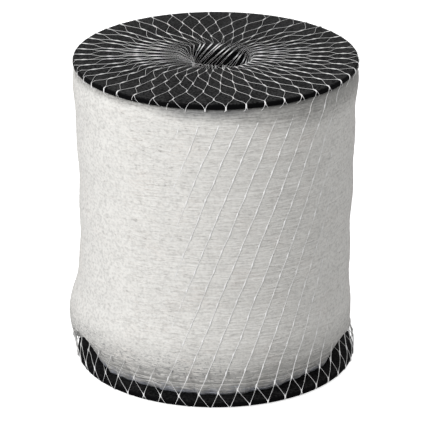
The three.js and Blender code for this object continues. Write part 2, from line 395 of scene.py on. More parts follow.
# Its grains: waves a metre along x, y and z, then the levels of noise where a soft step starts and ends
GRAINS = {
    "blotch": ((85.0, 85.0, 85.0), 0.40, 0.66),
    "crinkle": ((320.0, 320.0, 360.0), 0.38, 0.72),
    "flecks": ((300.0, 300.0, 600.0), 0.55, 0.66),
    "long_flecks": ((110.0, 110.0, 560.0), 0.48, 0.66),
}
# Shares by which each grain darkens the net in each zone, and by which zones darken it all over, with
# painted shade under the rim
DARKENING = {
    "thin": {"all": 0.14, "left": -0.10, "right": -0.08, "slack": 0.17},
    "blotch": {"all": 0.08, "slack": 0.05},
    "crinkle": {
        "all": 0.16, "left": 0.12, "right": 0.08, "upper": 0.08, "left_edge": 0.15, "right_edge": 0.12,
    },
    "flecks": {"all": 0.03, "slack": 0.038, "slack_left": 0.152, "upper": 0.08},
    "long_flecks": {"slack": 0.48, "slack_left": -0.36},
}
# Plain darkening: painted shade in the band under the rim and along the right edge, away from the key light,
# and dots in the sleeve's meshes
PLAIN_DARKENING = {"upper": 0.85, "right_edge": 0.07, "dots": 0.36}
# Shares of the near-black colour: gaps and flecks low at the left, and painted shade just under the rim
GAP_AND_SHADE_SHARES = {"gaps": 0.22, "flecks": 0.42, "under_rim_shade": 0.4}


def wound_tint(finish, colour, dashes, wound):
    """Colour of wound net from its own colour and its dashes: share = sum of grain (sum of weight x zone).

    At the lower end of the roll the net is slack and thin, and the dark spool shows through it in gaps low
    at the left. Painted shade darkens a band under the rim, the right edge and the ragged foot.
    """
    height = finish.place("Z")
    side = finish.place("X")
    patch = finish.noise(21.0, 3.0)
    zone = {name: finish.step(side, *limits) for name, limits in ACROSS.items()}
    for name, (shift, start, end) in UPWARD.items():
        zone[name] = finish.step(height + shift * patch, start, end)
    upper_start = RIM_SHADE["start"] - RIM_SHADE["front"] * zone["front"] - RIM_SHADE["right"] * zone["right"]
    zone["upper"] = finish.step(height + RIM_SHADE["shift"] * patch, upper_start, RIM_SHADE["end"])
    zone["slack_left"] = zone["slack"] * zone["left"]
    zone["dots"] = finish.step(dashes, 1.2, 1.8)
    zone["all"] = 1.0
    grain = {
        name: finish.step(finish.noise(1.0, 2.0, waves), start, end)
        for name, (waves, start, end) in GRAINS.items()
    }
    grain["thin"] = finish.step(dashes, 0.56 - 0.05 * zone["slack"], 0.84 - 0.24 * zone["slack"])
    # Plain darkening paints shade under the rim and along the right edge
    share = sum(weight * zone[name] for name, weight in PLAIN_DARKENING.items())
    for name, weights in DARKENING.items():
        share = share + grain[name] * sum(weight * zone[place] for place, weight in weights.items())
    tint = finish.blend(share, colour, wound.shaded_colour)

    gaps = finish.step(dashes, 0.60, 0.70) * zone["gaps"] * zone["left"]
    dark_flecks = grain["flecks"] * zone["dark_foot"] * zone["dark_top"] * zone["dark_side"]
    # Painted shade just under the rim, darkest at the front middle
    under_rim_shade = zone["under_rim_shade"] * zone["from_middle"] * (1.0 - 0.8 * zone["past_middle"])
    gap_share = gaps * GAP_AND_SHADE_SHARES["gaps"] + dark_flecks * GAP_AND_SHADE_SHARES["flecks"]
    tint = finish.blend(gap_share, tint, wound.gap_and_shade_colour)
    tint = finish.blend(under_rim_shade * GAP_AND_SHADE_SHARES["under_rim_shade"], tint, wound.gap_and_shade_colour)
    # Painted shade at the foot: bluish grey with darker gaps, in a ragged band
    ragged_height = height + FOOT_SHADE["dashes"] * dashes + FOOT_SHADE["tatters"] * finish.noise(130.0, 3.0)
    edge = finish.blend(finish.step(dashes, 0.45, 0.75), wound.foot_shade_colour, wound.gap_and_shade_colour)
    return finish.blend(finish.step(ragged_height, FOOT_SHADE["start"], FOOT_SHADE["end"]), tint, edge)


def wound_bed_finish(name, wound):
    """Packed turns of net under the outer threads: streaks that run round the roll, in colour and bump."""
    finish = Finish(name)
    slack = finish.step(finish.place("Z"), 0.075, 0.02)
    ground = finish.blend(slack, wound.bed_colour, wound.shaded_colour)
    dashes = finish.noise(1.0, 2.0, (150.0, 150.0, 640.0))
    return finish.shade(
        Base_Color=wound_tint(finish, ground, dashes, wound),
        Roughness=0.5 + dashes * 0.15,
        Specular_IOR_Level=0.3,
        Normal=finish.bump(dashes, 0.4, 0.0005),
    )


def wound_thread_finish(name, wound):
    """Wound net thread: a faint warm cast in patches, and dashes of thinner net."""
    finish = Finish(name)
    tone = finish.tone()
    tint = wound_tint(finish, warm_cast(finish, tone, wound), tone, wound)
    return finish.shade(Base_Color=tint, Roughness=0.40 + tone * 0.2, Specular_IOR_Level=0.3)


def length_setting(name, description, default):
    """A length that a user may change."""
    return bpy.props.FloatProperty(name=name, description=description, default=default, unit="LENGTH")


def colour_setting(name, description, default):
    """A colour that a user may change."""
    return bpy.props.FloatVectorProperty(
        name=name, description=description, default=default, size=4, subtype="COLOR", min=0.0, max=1.0)


class SpoolSettings(bpy.types.PropertyGroup):
    """Sizes and colours of the spool."""

    bore_radius: length_setting("Bore radius", "Radius of the hole through the hub", 0.038)
    rim_round: length_setting("Rim round", "Rounding of a flange's outer edges", 0.002)
    lip_round: length_setting("Lip round", "Rounding of the bore's mouth", 0.004)
    segments: bpy.props.IntProperty(
        name="Segments", description="Steps round a flange", default=288, min=12)
    plastic_colour: colour_setting("Plastic", "Colour of the flanges", (0.0030, 0.0030, 0.0033, 1.0))
    # Lighter colour of the flat faces: wear and painted sheen
    wear_and_sheen_colour: colour_setting(
        "Rubbed plastic", "Colour where the flanges are rubbed", (0.050, 0.050, 0.0505, 1.0))


class WoundSettings(bpy.types.PropertyGroup):
    """Sizes and colours of the wound netting."""

    thread_width: length_setting("Thread width", "Thickness of a wound thread", 0.0008)
    turns: bpy.props.IntProperty(
        name="Turns", description="Threads in each of the outer layers", default=144, min=8)
    stitches: bpy.props.IntProperty(
        name="Stitches", description="Meshes of net round the roll, times two", default=114, min=8)
    set_back: length_setting("Set back", "Depth of the packed bed below the sleeve", 0.0004)
    layer_rise: length_setting("Layer rise", "Rise from one layer of threads to the next", 0.00008)
    wander: length_setting("Wander", "How far threads stray from level", 0.0007)
    stray: length_setting("Stray", "Ragged wander of a single thread", 0.0004)
    weave: length_setting("Weave", "Rise and fall of a thread among the others", 0.00009)
    colour: colour_setting("Net", "Colour of the netting", (0.757, 0.747, 0.724, 1.0))
    warm_colour: colour_setting("Warm net", "Colour of its warmer patches", (0.75, 0.717, 0.687, 1.0))
    bed_colour: colour_setting(
        "Packed net", "Colour of the packed turns below the threads", (0.725, 0.717, 0.692, 1.0))
    # Also the colour of painted shade under the rim and along the right edge
    shaded_colour: colour_setting(
        "Thin net", "Colour where thin net shows the dark spool", (0.34, 0.335, 0.322, 1.0))
    # Bluish painted shade at the netting's foot
    foot_shade_colour: colour_setting(
        "Fringe", "Colour of the netting's sheer lower edge", (0.43, 0.45, 0.51, 1.0))
    # Near black: the dark spool in gaps, and painted shade under the rim and at the foot
    gap_and_shade_colour: colour_setting("Gaps", "Colour of the gaps in that edge", (0.07, 0.075, 0.09, 1.0))


class SleeveSettings(bpy.types.PropertyGroup):
    """Sizes and colours of the sleeve of netting."""

    thread_width: length_setting("Thread width", "Thickness of a thread of the sleeve", 0.00034)
    meshes: bpy.props.IntProperty(
        name="Meshes", description="Meshes round the sleeve", default=46, min=4)
    row_twist: bpy.props.FloatProperty(
        name="Row twist", description="Turn of the net from one row of knots to the next",
        default=math.radians(0.8), subtype="ANGLE", unit="ROTATION")
    stand_off: length_setting("Stand off", "Height of a thread's middle over the plastic", 0.0006)
    tuck_depth: length_setting("Tuck depth", "How far the ends go into the bore", 0.045)
    knot_swell: bpy.props.FloatProperty(
        name="Knot swell", description="Growth of a thread's thickness in a knot", default=2.9)
    knot_length: length_setting("Knot length", "Length of a knot", 0.0045)
    colour: colour_setting("Sleeve", "Colour of the sleeve's threads", (0.94, 0.94, 0.945, 1.0))
    warm_colour: colour_setting("Warm sleeve", "Colour of its warmer patches", (0.92, 0.905, 0.89, 1.0))
    shaded_colour: colour_setting(
        "Shaded sleeve", "Colour of its threads in the shade", (0.42, 0.42, 0.41, 1.0))


class StageSettings(bpy.types.PropertyGroup):
    """Camera, lights and floor."""

    aim_height: length_setting("Aim height", "Height that the camera looks at", 0.1693)
    distance: length_setting("Distance", "Camera's distance from that point", 3.079)
    elevation: bpy.props.FloatProperty(
        name="Elevation", description="Camera's angle above level", default=math.radians(22.02),
        subtype="ANGLE", unit="ROTATION")
    lens: bpy.props.FloatProperty(
        name="Lens", description="Focal length", default=240.6, subtype="DISTANCE_CAMERA")
    key_power: bpy.props.FloatProperty(
        name="Key", description="Power of the large light at the left", default=50.0, unit="POWER")
    fill: bpy.props.FloatProperty(
        name="Fill", description="Strength of the even light from all round", default=0.645)
    floor_glow: bpy.props.FloatProperty(
        name="Floor glow", description="Light that the white floor gives off by itself", default=0.73)


# Flanges: rounding of the edge at the core, points in a rounded corner, and how far their faces are
# lightened by wear and painted sheen
INNER_ROUND = 0.0004
CORNER_POINTS = 7
TOP_WEAR_AND_SHEEN = 1.0
BASE_WEAR_AND_SHEEN = 0.5


def rounded_outline(corners):
    """Closed outline of radius and height through right-angled corners, each (radius, height, round).

    A round of R at a corner, with unit vectors p and n towards the corners before and after, has its centre
    at corner + R (p + n). It runs through centre - R (n cos(turn) + p sin(turn)) over a quarter turn.
    """
    places = np.array([corner[:2] for corner in corners])
    rounds = np.array([corner[2] for corner in corners])[:, None, None]
    before = unit(np.roll(places, 1, axis=0) - places)[:, None, :]
    after = unit(np.roll(places, -1, axis=0) - places)[:, None, :]
    turn = np.linspace(0.0, 0.5 * np.pi, CORNER_POINTS)[None, :, None]
    centre = places[:, None, :] + rounds * (before + after)
    return (centre - rounds * (after * np.cos(turn) + before * np.sin(turn))).reshape(-1, 2)


def turned(outline, segments):
    """Solid of revolution about Z from a closed outline of radius and height, drawn anticlockwise."""
    angle = 2.0 * np.pi * np.arange(segments) / segments
    points = polar(angle[None, :], outline[:, :1], outline[:, 1:])
    return points.reshape(-1, 3), grid_faces(len(outline), segments, True, True)


class NETTING_OT_spool(bpy.types.Operator):
    """Make the two flanges and finish the core between them"""

    bl_idname = "netting.spool"
    bl_label = "Make the spool"

    def execute(self, context):
        spool = context.scene.netting_spool
        plastic = moulded_plastic("black_plastic", spool.plastic_colour, spool.wear_and_sheen_colour)
        flanges = (
            ("top_flange", TOP_LOW, TOP_HIGH, INNER_ROUND, spool.lip_round, TOP_WEAR_AND_SHEEN),
            ("bottom_flange", BASE_LOW, BASE_HIGH, spool.lip_round, INNER_ROUND, BASE_WEAR_AND_SHEEN),
        )
        for node, low, high, lip_low, lip_high, wear_and_sheen in flanges:
            corners = [
                (spool.bore_radius, low.z, lip_low),
                (high.x, low.z, spool.rim_round),
                (high.x, high.z, spool.rim_round),
                (spool.bore_radius, high.z, lip_high),
            ]
            points, faces = turned(rounded_outline(corners), spool.segments)
            # Only the flat faces, not the rim, take the wear and painted sheen
            lightened = wear_and_sheen * below(np.hypot(points[:, 0], points[:, 1]), high.x, spool.rim_round)
            flange = make_piece(f"{node}_moulding", points, faces, plastic, lightened)
            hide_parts(node)
        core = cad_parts["spool_core"]
        core.data.materials.clear()
        core.data.materials.append(moulded_plastic("core_plastic", spool.plastic_colour, spool.wear_and_sheen_colour))
        return {"FINISHED"}


# How far the wound netting draws in towards the core at its ends
BOTTOM_DRAW = {"depth": 0.019, "height": 0.036, "least_height": 0.002, "power": 1.2}
FRONT_HOLLOW = {"depth": 0.005, **about(42, 17)}
LEFT_SHOULDER = {"depth": -0.0045, **about(-60, 16)}
LEFT_FOLD = {"power": -0.8, "depth": 0.003, **about(-88, 28)}
RIGHT_FOLD = {"power": -0.6, "depth": 0.006, **about(92, 25)}
LEFT_HOLD = {"height": -0.030, **about(-92, 9.5)}
RIGHT_HOLD = {"height": -0.0135, **about(96, 22)}
TOP_DRAW = {"depth": 0.005, "height": 0.014}
FOOT_WAVE = 0.0006
FOOT_ORDERS = (13, 22, 37, 58)
RIDGE_DEPTH = 0.0012
RIDGE_PITCH = 0.066
WOUND_LINE_POINTS = 2000

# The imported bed: how far it rises at the left and right, its gap to the core, and its steps
PACKED = {"height": 0.00026, "from": 0.5, "reach": 0.4}
CORE_GAP = 0.0004
BED_SEGMENTS = 288
BED_RINGS = 110


def changed(start, key, angle, changes):
    """A value that changes round the roll: start + sum of change[key] x bell curve."""
    return start + sum(change[key] * bell(angle, change) for change in changes)


def draw_in(angle, height):
    """How far the wound form is drawn in at its ends: depth share^power below, a quarter ellipse above.

    The lower end has a hollow at the front right and a shoulder at the front left, folds in more sharply at
    the left and right, and holds out further down there.
    """
    reach = changed(BOTTOM_DRAW["height"], "height", angle, (LEFT_HOLD, RIGHT_HOLD))
    reach = np.maximum(reach, BOTTOM_DRAW["least_height"])
    low = np.clip(1.0 - (height - WOUND_LOW.z) / reach, 0.0, 1.0)
    high = np.clip(1.0 - (WOUND_HIGH.z - height) / TOP_DRAW["height"], 0.0, 1.0)
    hollows = (FRONT_HOLLOW, LEFT_SHOULDER, LEFT_FOLD, RIGHT_FOLD)
    depth = changed(BOTTOM_DRAW["depth"], "depth", angle, hollows)
    power = changed(BOTTOM_DRAW["power"], "power", angle, (LEFT_FOLD, RIGHT_FOLD))
    return depth * low**power + TOP_DRAW["depth"] * (1.0 - np.sqrt(1.0 - high**2))


def ridge_hollow(angle, height):
    """Depth of the hollows between two sets of ridges that wind round, sin(k z + 2 a) and sin(k z - 3 a)."""
    phase = 2.0 * np.pi * height / RIDGE_PITCH
    ridges = np.sin(phase + 2.0 * angle) + np.sin(phase - 3.0 * angle)
    return RIDGE_DEPTH * (2.0 - ridges) / 4.0


def wound_radius(angle, height, set_back):
    """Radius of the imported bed: the sleeve's side less a set-back, the drawn-in ends and ridges' hollows.

    Its foot is uneven, by a sum of waves sin(n angle + n).
    """
    foot = np.clip(1.0 - (height - WOUND_LOW.z) / BOTTOM_DRAW["height"], 0.0, 1.0)
    ragged_foot = FOOT_WAVE * foot * sum(np.sin(order * angle + order) for order in FOOT_ORDERS)
    drawn = draw_in(angle, height) + ridge_hollow(angle, height)
    return side_radius(angle, height) - set_back - drawn + ragged_foot


def wound_line():
    """Distances down the wound form's line at the right, with each one's height and outward normal."""
    turn = np.linspace(0.0, np.pi, WOUND_LINE_POINTS)
    height = 0.5 * (WOUND_HIGH.z + WOUND_LOW.z) + 0.5 * (WOUND_HIGH.z - WOUND_LOW.z) * np.cos(turn)
    outward = -draw_in(0.5 * np.pi, height)
    slope = unit(np.stack([np.gradient(outward), np.gradient(height)], axis=-1))
    return distances(outward, height), height, -slope[:, 1], slope[:, 0]


class NETTING_OT_wound_bed(bpy.types.Operator):
    """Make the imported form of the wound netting"""

    bl_idname = "netting.wound_bed"
    bl_label = "Make the wound form"

    def execute(self, context):
        wound = context.scene.netting_wound
        along, height, _, _ = wound_line()
        levels = np.interp(np.linspace(along[-1], 0.0, BED_RINGS), along, height)[:, None]
        angle = (2.0 * np.pi * np.arange(BED_SEGMENTS) / BED_SEGMENTS)[None, :]
        packed = PACKED["height"] * above(np.abs(np.sin(angle)), PACKED["from"], PACKED["reach"])
        outer = polar(angle, wound_radius(angle, levels, wound.set_back) + packed, levels)
        inner = polar(angle, CORE_HIGH.x + CORE_GAP, np.array([[WOUND_HIGH.z], [WOUND_LOW.z]]))
        points = np.concatenate([outer, inner])
        faces = grid_faces(len(points), BED_SEGMENTS, True, True)
        finish = wound_bed_finish("wound_bed", wound)
        bed = make_piece("wound_bed", points.reshape(-1, 3), faces, finish)
        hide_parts("wound_netting")
        return {"FINISHED"}


# The wound threads: shares of their spacing and width, waves, reaches of ragged noise in steps, and tones
LEVEL_SHARES = (0.2, 0.8)
PARTING_SHARES = (0.05, 0.175)
WIDTH_SHARES = (0.75, 1.15)
SPARSE = {"reach": 0.055, "share": 0.3}
PHASE_WAVES = {"height": 1.6, "count": 5, "pitch": 0.09}
DRIFT_WAVES = {"count": 4, "pitch": 0.12}
RAGGED_REACH = {"stray": 1.1, "weave": 1.2, "tone": 1.0}
CRINKLE = {"growth": 3.2, **about(-70, 55)}
LINE_MARGIN = 0.0005
THREAD_TONE = {"middle": 0.5, "dashes": 0.2, "thread": 0.08}
WOUND_THREAD_SIDES = 3
LAYER_SINK = 0.1
LAYER_SEEDS = {"wound_threads_inner": 11, "wound_threads_middle": 23, "wound_threads_outer": 37}

# Dots in the middles of the sleeve's meshes, which show on the wound threads
MESH_DOTS = {"tone": 1.5, "sharpness": 2.2, "low": 0.060, "low_fade": 0.02, "high": 0.326, "high_fade": 0.01}
DOT_SIDES = sides(-150, 18, 40)
LINE_ARC_POINTS = 24


def slow_waves(rng, angle, along, count, pitch):
    """Smooth seeded field over the roll: a sum of waves sin(m angle + k along + phase), about -1 to 1."""
    total = np.zeros(np.broadcast(angle, along).shape)
    for order in range(1, count + 1):
        rate = rng.uniform(0.4, 1.6) * 2.0 * np.pi / pitch
        phase = rng.uniform(0.0, 2.0 * np.pi)
        total = total + np.sin(order * angle + rate * along + phase) / order**0.5
    return total / count**0.5


def ragged(rng, shape, reach):
    """Seeded noise of spread 1 along each thread round the roll: white noise softened over a reach."""
    waves = np.fft.rfft(rng.normal(size=shape), axis=1)
    pitch = np.arange(waves.shape[1]) * 2.0 * np.pi / shape[1]
    soft = np.fft.irfft(waves * np.exp(-0.5 * (pitch * reach)**2), shape[1], axis=1)
    return soft / soft.std()


def sleeve_line(spool, sleeve):
    """The sleeve's line at angle 0, from its end in the top of the bore to its end in the bottom.

    Gives distances along it, radii and heights: straight stretches down the bore, across the top flange and
    down the side, joined by rounds about the lip and the rim, and the same below.
    """
    arcs = np.linspace(0.0, 0.5 * np.pi, LINE_ARC_POINTS)
    lip = spool.lip_round + sleeve.stand_off
    rim = spool.rim_round + sleeve.stand_off
    lip_centre = spool.bore_radius + spool.lip_round
    rim_centre = TOP_HIGH.x - spool.rim_round
    radius = np.concatenate([
        [lip_centre - lip],
        lip_centre - lip * np.cos(arcs),
        rim_centre + rim * np.sin(arcs),
    ])
    height = np.concatenate([
        [TOP_HIGH.z - sleeve.tuck_depth],
        TOP_HIGH.z - spool.lip_round + lip * np.sin(arcs),
        TOP_HIGH.z - spool.rim_round + rim * np.cos(arcs),
    ])
    middle = 0.5 * (TOP_HIGH.z + BASE_LOW.z)
    radius = np.concatenate([radius, radius[::-1]])
    height = np.concatenate([height, 2.0 * middle - height[::-1]])
    return distances(radius, height), radius, height


def mesh_dots(angle, height, spool, sleeve):
    """Tone of the dots in the middles of the sleeve's meshes: (-cos(2 pi column) cos(pi row))^sharpness.

    Column and row count knots round the sleeve and down its side, where the rows are evenly spaced. The
    product counts as 0 where it is less.
    """
    line, _, line_height = sleeve_line(spool, sleeve)
    rim_end = len(line) // 2 - 1
    along = line[rim_end] + line_height[rim_end] - height
    (first_row, first_place, lean), (last_row, last_place, _) = SLEEVE_ROWS[EVEN_ROWS, :3]
    row_pitch = (last_place - first_place) / (last_row - first_row)
    row = (along - first_place - lean * (1.0 - np.cos(angle - LEAN_SIDE))) / row_pitch
    column = (angle - FRONT_ROW_PHASE - sleeve.row_twist * row) * sleeve.meshes / (2.0 * np.pi)
    dots = np.maximum(-np.cos(2.0 * np.pi * column) * np.cos(np.pi * row), 0.0)**MESH_DOTS["sharpness"]
    return MESH_DOTS["tone"] * dots * within(height, MESH_DOTS) * between(angle, DOT_SIDES)


def wound_thread_layer(wound, spool, sleeve, seed, rise):
    """One layer of wound net, with a tone for each point: threads that part and meet in long low meshes.

    A thread's place along the wound line is its level, plus a share of the spacing times cos(phase), where
    phase turns once in two stitches, plus slow waves that crowd and spread the threads and a ragged stray.
    """
    rng = np.random.default_rng(seed)
    line, heights, outward, upward = wound_line()
    length = line[-1]
    spacing = length / wound.turns
    steps = wound.stitches * 2
    angle = (2.0 * np.pi * np.arange(steps) / steps)[None, :]
    level = np.arange(wound.turns)[:, None] + rng.uniform(*LEVEL_SHARES, (wound.turns, 1))
    level = level * length / wound.turns
    level = level[(level[:, 0] < length - SPARSE["reach"]) | (rng.random(wound.turns) > SPARSE["share"])]
    phase = 0.5 * wound.stitches * angle + rng.uniform(0.0, 2.0 * np.pi, level.shape)
    waves = slow_waves(rng, angle, level, PHASE_WAVES["count"], PHASE_WAVES["pitch"])
    phase = phase + PHASE_WAVES["height"] * waves
    shape = phase.shape
    parting = rng.uniform(*PARTING_SHARES, level.shape) * spacing * np.cos(phase)
    waves = slow_waves(rng, angle, level, DRIFT_WAVES["count"], DRIFT_WAVES["pitch"])
    crinkled = 1.0 + CRINKLE["growth"] * bell(angle, CRINKLE)
    drift = wound.wander * waves + wound.stray * crinkled * ragged(rng, shape, RAGGED_REACH["stray"])
    along = np.clip(level + parting + drift, LINE_MARGIN, length - LINE_MARGIN)
    height = np.interp(along, line, heights)
    lift = rise + wound.weave * ragged(rng, shape, RAGGED_REACH["weave"])
    normal = polar(angle, np.interp(along, line, outward), np.interp(along, line, upward))
    paths = polar(angle, wound_radius(angle, height, wound.set_back), height) + lift[:, :, None] * normal
    radii = np.full(shape, 0.5 * wound.thread_width) * rng.uniform(*WIDTH_SHARES, level.shape)
    tone = THREAD_TONE["middle"] + THREAD_TONE["dashes"] * ragged(rng, shape, RAGGED_REACH["tone"])
    tone = tone + THREAD_TONE["thread"] * rng.normal(size=level.shape)
    tone = tone + mesh_dots(angle, height, spool, sleeve)
    points, faces = tubes(paths, normal, radii, WOUND_THREAD_SIDES, True)
    return points, faces, np.repeat(tone.ravel(), WOUND_THREAD_SIDES)


class NETTING_OT_wound_threads(bpy.types.Operator):
    """Make the outer turns of the wound netting, thread by thread, in three layers"""

    bl_idname = "netting.wound_threads"
    bl_label = "Make the wound threads"

    def execute(self, context):
        scene = context.scene
        wound = scene.netting_wound
        finish = wound_thread_finish("wound_thread", wound)
        for layer, (name, seed) in enumerate(LAYER_SEEDS.items()):
            rise = layer * wound.layer_rise - LAYER_SINK * wound.thread_width
            made = wound_thread_layer(wound, scene.netting_spool, scene.netting_sleeve, seed, rise)
            points, faces, tone = made
            make_piece(name, points, faces, finish, tone)
        return {"FINISHED"}


# Values that change along the sleeve, straight between the rows of knots named here: how far a thread keeps
# to its own lane, stray round the roll in meshes and along the line, bunching of columns, bend of the bars,
# and the share of a bar that its knots take, which grows at the left and right of the top plate
LANE = {-6: 0.16, -5: 0.06, -4: 0.0}
STRAY_ROUND = {-6: 0.34, -5: 0.20, -4: 0.08, 0: 0.05, 1: 0.03}
STRAY_ALONG = {0: 0.0010, 1: 0.0006}
BUNCH = {-6: 0.0, -5: 0.032, -3: 0.020, -2: 0.0}
BEND = {-5: 0.0, -4: 0.4, -2: 0.8, -1: 0.8, 1: 0.1, 16: 0.1, 18: 0.6}
KNOT_SHARE = {-2: 0.08, 1: 0.03, 16: 0.03, 18: 0.08}
CLOSED_SHARE = {-6: 0.0, -5: 0.20, -2: 0.20, 0: 0.0}
BAR_STEPS = np.array([0.0, 0.06, 0.16, 0.32, 0.5, 0.68, 0.84, 0.94])
KNOT_APART = 0.45
SIDE_FROM = 0.9
SLEEVE_SEED = 5
SLEEVE_THREAD_SIDES = 4

# The sleeve in and over the bore: turned along its back wall, and drawn inward over its front and left
TUCK = {"start": 0.047, "turn": 30.0, **about(165, 70)}
COVER = {"inward": 0.013, "rise": 0.0135, "length": 0.019, "thinning": 0.3, **about(0, 150)}
COVER_SIDES = sides(-155, 62, 45)
HUB_BUNCH = {"start": 0.080, "length": 0.030, "thinning": 0.42, "knots": 0.85, **sides(-165, -30, 30)}
HUB_THIN = {"share": 0.56, "radius": 0.04, "fade": 0.05}
# The sleeve over the wound netting: its lie, its dive under the rim, and how it is pressed flat
OVER_WOUND = {"low": 0.018, "low_fade": 0.02, "high": TOP_LOW.z, "high_fade": 0.003}
LIFT = {"under": -0.0034, "shown": 0.0017, "all": -0.0018}
LIFT_SIDES = sides(-33, 72, 26)
BACK_SIDES = sides(-80, 80, 26)
DIVE = {"depth": 0.0036, "height": 0.012}
DIVE_SIDES = sides(-120, 46, 16)
FLATTENED = {"growth": 1.7, "under": 0.8, "knots": 0.69, "tone": 0.35, "knot_tone": 0.20}
UNDER_RISE = 6.0
# The sleeve at its foot and rims: folded double at the sides, shaded, faint at the left, looped at the back
DOUBLED = (
    {"growth": 2.9, "tone": 0.5, "height": 0.062, **about(-93, 15)},
    {"growth": 0.9, "tone": 0.8, "height": 0.050, **about(94, 14)},
)
DOUBLED_FADE = {"height": 0.02, "tone_from": 0.012, "tone_fade": 0.008}
SHADED = {"knot": 0.017, "low": 0.026, "low_fade": 0.005, "high": 0.062, "high_fade": 0.01}
FAINT = {"tone": 0.4, "low": 0.014, "low_fade": 0.004, "high": 0.062, "high_fade": 0.01}
FAINT_SIDES = sides(-150, -8, 22)
ON_PLATE = {"tone": 0.2, "low": 0.038, "low_fade": 0.01, "high": TOP_HIGH.x, "high_fade": 0.008}
RIM_LOOP = {"height": 0.0016, "distance": 0.006, **about(180, 75)}


def by_row(table, rows):
    """Values at rows of knots, straight between the rows that a table names."""
    return np.interp(rows, list(table), list(table.values()))[:, None]


def along_slopes(line, radius, height, place):
    """Outward normal of the sleeve's line at places along it, from the line a little before and after."""
    reach, tiny = 0.001, 1e-9
    run = np.interp(place + reach, line, radius) - np.interp(place - reach, line, radius)
    rise = np.interp(place + reach, line, height) - np.interp(place - reach, line, height)
    length = np.hypot(run, rise) + tiny
    return -rise / length, run / length


def sleeve_knots(sleeve, line, line_radius):
    """Rows of knots and their places, and each thread's angle and place along the line at every row.

    At row n, thread k meets its neighbour at column (k + 1) // 2 on even rows and k // 2 + 1/2 on odd ones.
    Columns spread by sin(2 angle), gather to the left and bunch at the sides. A row leans by
    lean (1 - cos(angle - LEAN_SIDE)).
    """
    rng = np.random.default_rng(SLEEVE_SEED)
    known_rows, *known = SLEEVE_ROWS.T
    rows = np.arange(int(known_rows[0]), int(known_rows[-1]) + 1)
    place, lean, spread, gather = (np.interp(rows, known_rows, values)[:, None] for values in known)
    row = rows[:, None]
    thread = np.arange(2 * sleeve.meshes)[None, :]
    even = row % 2 == 0
    column = np.where(even, (thread + 1) // 2, thread // 2 + 0.5)
    column = column + by_row(LANE, rows) * (0.5 * thread + 0.25 - column)
    knot = np.where(even, (thread + 1) // 2, thread // 2) % sleeve.meshes
    stray = rng.uniform(-1.0, 1.0, (2, len(rows), sleeve.meshes))
    stray_round, stray_along = (np.take_along_axis(values, knot, axis=1) for values in stray)
    pitch = 2.0 * np.pi / sleeve.meshes
    plain = pitch * column + FRONT_ROW_PHASE + sleeve.row_twist * row
    plain = plain + by_row(STRAY_ROUND, rows) * pitch * stray_round
    angle = plain + 0.5 * spread * np.sin(2.0 * plain) + gather * np.sin(GATHER_ANGLE - plain)
    angle = angle + by_row(BUNCH, rows) * np.sin(0.5 * sleeve.meshes * plain) * np.sin(plain)**2
    along = place + lean * (1.0 - np.cos(angle - LEAN_SIDE)) + by_row(STRAY_ALONG, rows) * stray_along
    apart = KNOT_APART * sleeve.thread_width / np.interp(along, line, line_radius)
    angle = angle + apart * np.where((thread + row) % 2 == 0, 1.0, -1.0)
    return rows, place, angle, along


def sleeve_runs(sleeve, line, line_radius, line_height):
    """Values along each thread of the sleeve, through the bars between its rows of knots.

    Between rows a thread's angle follows (1 - bend) t + bend (3 t^2 - 2 t^3), clear of the knots, and in the
    bore it slants along the back wall. Of two threads that cross, the one that turns right sinks under.
    """
    rows, place, angle, along = sleeve_knots(sleeve, line, line_radius)
    turns = np.diff(angle, axis=0)[:, None, :]
    share = BAR_STEPS[None, :, None]
    middle = np.sin(np.pi * share)
    tables = (BEND, KNOT_SHARE, CLOSED_SHARE)
    bend, knot_share, closed = (by_row(table, rows[:-1])[:, :, None] for table in tables)
    knot_share = knot_share + closed * (np.sin(0.5 * (angle[:-1] + angle[1:]))**4)[:, None, :]
    clear = np.clip((share - knot_share) / (1.0 - 2.0 * knot_share), 0.0, 1.0)
    bar_angle = angle[:-1, None, :] + turns * ((1.0 - bend) * clear + bend * smooth(clear))
    bar_along = along[:-1, None, :] + np.diff(along, axis=0)[:, None, :] * share
    bar_angle = bar_angle + TUCK["turn"] * np.maximum(TUCK["start"] - bar_along, 0.0) * bell(bar_angle, TUCK)
    turns_left = turns < sleeve.row_twist
    shown = between(bar_angle, LIFT_SIDES) + between(bar_angle + np.pi, BACK_SIDES)
    low_knot = np.interp(along[1:], line, line_height)[:, None, :]
    bars = {
        "angle": bar_angle,
        "along": bar_along,
        "middle": middle,
        "near": np.minimum(share, 1.0 - share) * np.diff(place, axis=0)[:, :, None],
        "sink": np.where(turns_left, 0.0, LIFT["under"]) * middle + LIFT["shown"] * shown + LIFT["all"],
        "under": np.where(turns_left, 0.0, np.minimum(UNDER_RISE * middle, 1.0)),
        "hidden_from": np.where(low_knot > SHADED["knot"], 0.0, SHADED["low"]),
    }
    ends = {"angle": angle[-1:], "along": along[-1:]}
    threads = angle.shape[1]
    runs = SimpleNamespace()
    for name, values in bars.items():
        steps = np.broadcast_to(values, bar_angle.shape).reshape(-1, threads)
        end = ends.get(name, np.zeros((1, threads)))
        setattr(runs, name, np.concatenate([steps, end]).T)
    return runs


